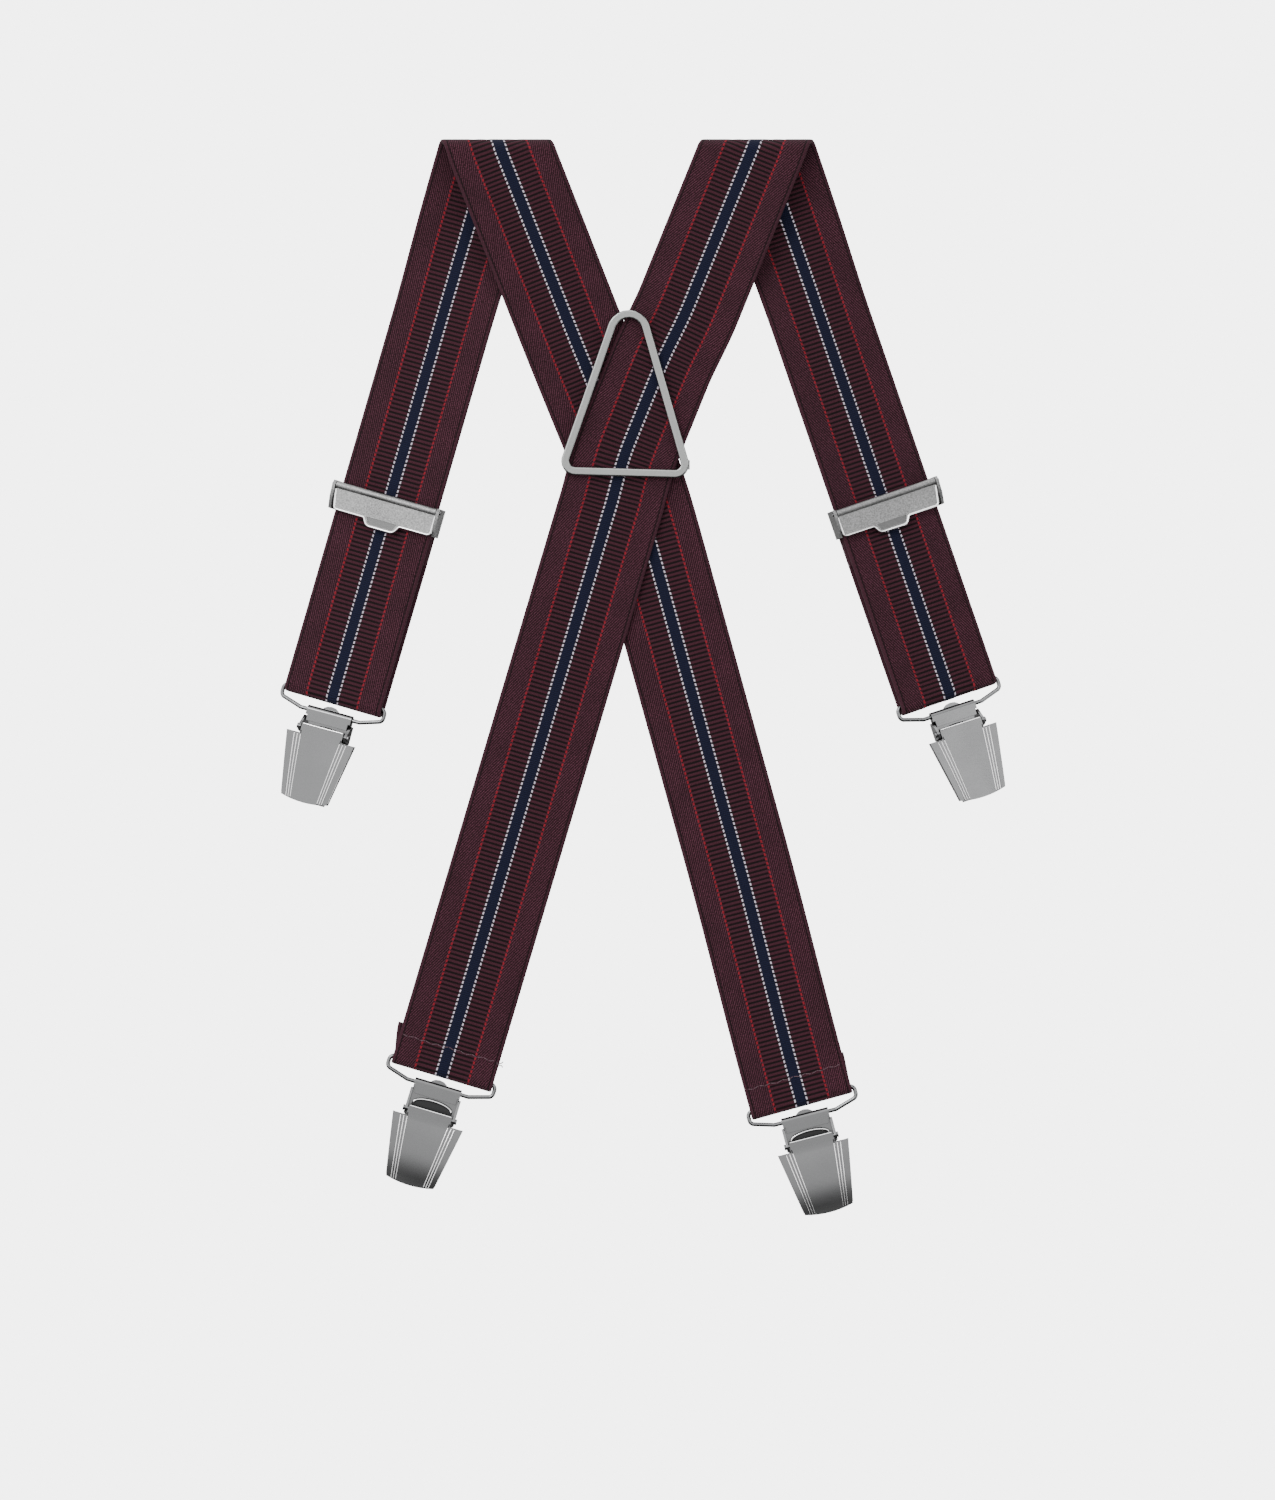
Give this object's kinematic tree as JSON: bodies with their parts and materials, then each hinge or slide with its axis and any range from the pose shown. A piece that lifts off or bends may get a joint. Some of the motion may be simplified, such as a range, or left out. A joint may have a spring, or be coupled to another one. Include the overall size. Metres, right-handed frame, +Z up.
{
  "type": "suspenders",
  "caption": "Clip-on X-back suspenders of striped elastic webbing with a triangular back ring, cam-lever adjusters and lidded metal clips on wire bails.",
  "frame": {"origin": "on the top line of the thin bar that the shoulder folds hang over, midway between the two folds", "axes": "+Z up along the hanging straps, the seen side with the crossing faces -Y, X across from one shoulder fold to the other"},
  "size_m": [0.2796, 0.0225, 0.414],
  "materials": {
    "webbing": "woven elastic webbing",
    "nickel": "satin nickel",
    "satin": "bead-blasted nickel",
    "chrome": "polished nickel plate",
    "steel": "plain nickel plate"
  },
  "bodies": {
    "straps": {"ring_front": "nickel", "ring_rear": "nickel", "strap_left_main": "webbing", "strap_left_hem": "webbing", "strap_left_lower": "webbing", "strap_right_main": "webbing", "strap_right_hem": "webbing", "strap_right_lower": "webbing"},
    "adjuster_left": {"adjuster_left_frame": "satin", "adjuster_left_pin": "steel", "strap_left_tail": "webbing", "strap_left_return": "webbing"},
    "adjuster_left_lever": {"adjuster_left_lever": "satin"},
    "strap_left_end": {"strap_left_end_loop": "webbing"},
    "adjuster_right": {"adjuster_right_frame": "satin", "adjuster_right_pin": "steel", "strap_right_tail": "webbing", "strap_right_return": "webbing"},
    "adjuster_right_lever": {"adjuster_right_lever": "satin"},
    "strap_right_end": {"strap_right_end_loop": "webbing"},
    "clip_front_left_bail": {"clip_front_left_bail": "chrome"},
    "clip_front_left_body": {"clip_front_left_body": "chrome", "clip_front_left_pin": "steel"},
    "clip_front_left_lid": {"clip_front_left_lid": "chrome"},
    "clip_front_left_jaw": {"clip_front_left_jaw": "steel"},
    "clip_front_right_bail": {"clip_front_right_bail": "chrome"},
    "clip_front_right_body": {"clip_front_right_body": "chrome", "clip_front_right_pin": "steel"},
    "clip_front_right_lid": {"clip_front_right_lid": "chrome"},
    "clip_front_right_jaw": {"clip_front_right_jaw": "steel"},
    "clip_back_left_bail": {"clip_back_left_bail": "chrome"},
    "clip_back_left_body": {"clip_back_left_body": "chrome", "clip_back_left_pin": "steel"},
    "clip_back_left_lid": {"clip_back_left_lid": "chrome"},
    "clip_back_left_jaw": {"clip_back_left_jaw": "steel"},
    "clip_back_right_bail": {"clip_back_right_bail": "chrome"},
    "clip_back_right_body": {"clip_back_right_body": "chrome", "clip_back_right_pin": "steel"},
    "clip_back_right_lid": {"clip_back_right_lid": "chrome"},
    "clip_back_right_jaw": {"clip_back_right_jaw": "steel"}
  },
  "joints": [
    {"name": "adjuster_left_slide", "type": "slide", "parent": "straps", "child": "adjuster_left", "axis": [0.2776, 0, 0.9607], "range_m": [-0.02, 0.04], "deforming": ["strap_left_lower"]},
    {"name": "strap_left_end_slide", "type": "slide", "parent": "adjuster_left", "child": "strap_left_end", "axis": [0.2776, 0, 0.9607], "range_m": [-0.02, 0.01], "deforming": ["strap_left_return"]},
    {"name": "adjuster_left_lever_hinge", "type": "hinge", "parent": "adjuster_left", "child": "adjuster_left_lever", "pos_m": [-0.09155, 0.00119, -0.13676], "axis": [-0.928, 0.2588, 0.2682], "range_deg": [0, 95]},
    {"name": "adjuster_right_slide", "type": "slide", "parent": "straps", "child": "adjuster_right", "axis": [-0.3244, 0, 0.9459], "range_m": [-0.02, 0.04], "deforming": ["strap_right_lower"]},
    {"name": "strap_right_end_slide", "type": "slide", "parent": "adjuster_right", "child": "strap_right_end", "axis": [-0.3244, 0, 0.9459], "range_m": [-0.02, 0.01], "deforming": ["strap_right_return"]},
    {"name": "adjuster_right_lever_hinge", "type": "hinge", "parent": "adjuster_right", "child": "adjuster_right_lever", "pos_m": [0.09925, 0.00119, -0.13638], "axis": [-0.9137, -0.2588, -0.3134], "range_deg": [0, 95]},
    {"name": "clip_front_left_bail_swing", "type": "hinge", "parent": "strap_left_end", "child": "clip_front_left_bail", "pos_m": [-0.11217, 0.00602, -0.21279], "axis": [-0.9327, 0.2588, 0.2514], "range_deg": [-45, 45]},
    {"name": "clip_front_left_body_swing", "type": "hinge", "parent": "clip_front_left_bail", "child": "clip_front_left_body", "pos_m": [-0.11408, 0.00599, -0.21983], "axis": [-0.9327, 0.2588, 0.2514], "range_deg": [-40, 40]},
    {"name": "clip_front_left_lid_hinge", "type": "hinge", "parent": "clip_front_left_body", "child": "clip_front_left_lid", "pos_m": [-0.11666, 0.00315, -0.22648], "axis": [-0.9327, 0.2588, 0.2514], "range_deg": [0, 100]},
    {"name": "clip_front_left_jaw_hinge", "type": "hinge", "parent": "clip_front_left_body", "child": "clip_front_left_jaw", "pos_m": [-0.1157, 0.00596, -0.22582], "axis": [-0.9327, 0.2588, 0.2514], "range_deg": [0, 6]},
    {"name": "clip_front_right_bail_swing", "type": "hinge", "parent": "strap_right_end", "child": "clip_front_right_bail", "pos_m": [0.12354, 0.00602, -0.21116], "axis": [-0.9192, -0.2588, -0.2968], "range_deg": [-45, 45]},
    {"name": "clip_front_right_body_swing", "type": "hinge", "parent": "clip_front_right_bail", "child": "clip_front_right_body", "pos_m": [0.12579, 0.00599, -0.2181], "axis": [-0.9192, -0.2588, -0.2968], "range_deg": [-40, 40]},
    {"name": "clip_front_right_lid_hinge", "type": "hinge", "parent": "clip_front_right_body", "child": "clip_front_right_lid", "pos_m": [0.12869, 0.00315, -0.22462], "axis": [-0.9192, -0.2588, -0.2968], "range_deg": [0, 100]},
    {"name": "clip_front_right_jaw_hinge", "type": "hinge", "parent": "clip_front_right_body", "child": "clip_front_right_jaw", "pos_m": [0.1277, 0.00596, -0.224], "axis": [-0.9192, -0.2588, -0.2968], "range_deg": [0, 6]},
    {"name": "clip_back_left_bail_swing", "type": "hinge", "parent": "straps", "child": "clip_back_left_bail", "pos_m": [-0.07028, -0.00245, -0.35633], "axis": [-0.9586, 0, 0.2847], "range_deg": [-45, 45]},
    {"name": "clip_back_left_body_swing", "type": "hinge", "parent": "clip_back_left_bail", "child": "clip_back_left_body", "pos_m": [-0.07235, -0.00245, -0.36333], "axis": [-0.9586, 0, 0.2847], "range_deg": [-40, 40]},
    {"name": "clip_back_left_lid_hinge", "type": "hinge", "parent": "clip_back_left_body", "child": "clip_back_left_lid", "pos_m": [-0.07534, -0.00535, -0.37339], "axis": [-0.9586, 0, 0.2847], "range_deg": [0, 100]},
    {"name": "clip_back_left_jaw_hinge", "type": "hinge", "parent": "clip_back_left_body", "child": "clip_back_left_jaw", "pos_m": [-0.07412, -0.00245, -0.36927], "axis": [-0.9586, 0, 0.2847], "range_deg": [0, 6]},
    {"name": "clip_back_right_bail_swing", "type": "hinge", "parent": "straps", "child": "clip_back_right_bail", "pos_m": [0.06708, -0.00055, -0.36751], "axis": [-0.9685, 0, -0.2492], "range_deg": [-45, 45]},
    {"name": "clip_back_right_body_swing", "type": "hinge", "parent": "clip_back_right_bail", "child": "clip_back_right_body", "pos_m": [0.0689, -0.00055, -0.37458], "axis": [-0.9685, 0, -0.2492], "range_deg": [-40, 40]},
    {"name": "clip_back_right_lid_hinge", "type": "hinge", "parent": "clip_back_right_body", "child": "clip_back_right_lid", "pos_m": [0.07122, -0.00345, -0.38359], "axis": [-0.9685, 0, -0.2492], "range_deg": [0, 100]},
    {"name": "clip_back_right_jaw_hinge", "type": "hinge", "parent": "clip_back_right_body", "child": "clip_back_right_jaw", "pos_m": [0.07045, -0.00055, -0.38059], "axis": [-0.9685, 0, -0.2492], "range_deg": [0, 6]}
  ],
  "couplings": [
    {"joint": "strap_left_end_slide", "follows": "adjuster_left_slide", "ratio": -0.5},
    {"joint": "strap_right_end_slide", "follows": "adjuster_right_slide", "ratio": -0.5},
    {"joint": "clip_front_left_jaw_hinge", "follows": "clip_front_left_lid_hinge", "ratio": 0.06},
    {"joint": "clip_front_right_jaw_hinge", "follows": "clip_front_right_lid_hinge", "ratio": 0.06},
    {"joint": "clip_back_left_jaw_hinge", "follows": "clip_back_left_lid_hinge", "ratio": 0.06},
    {"joint": "clip_back_right_jaw_hinge", "follows": "clip_back_right_lid_hinge", "ratio": 0.06}
  ]
}
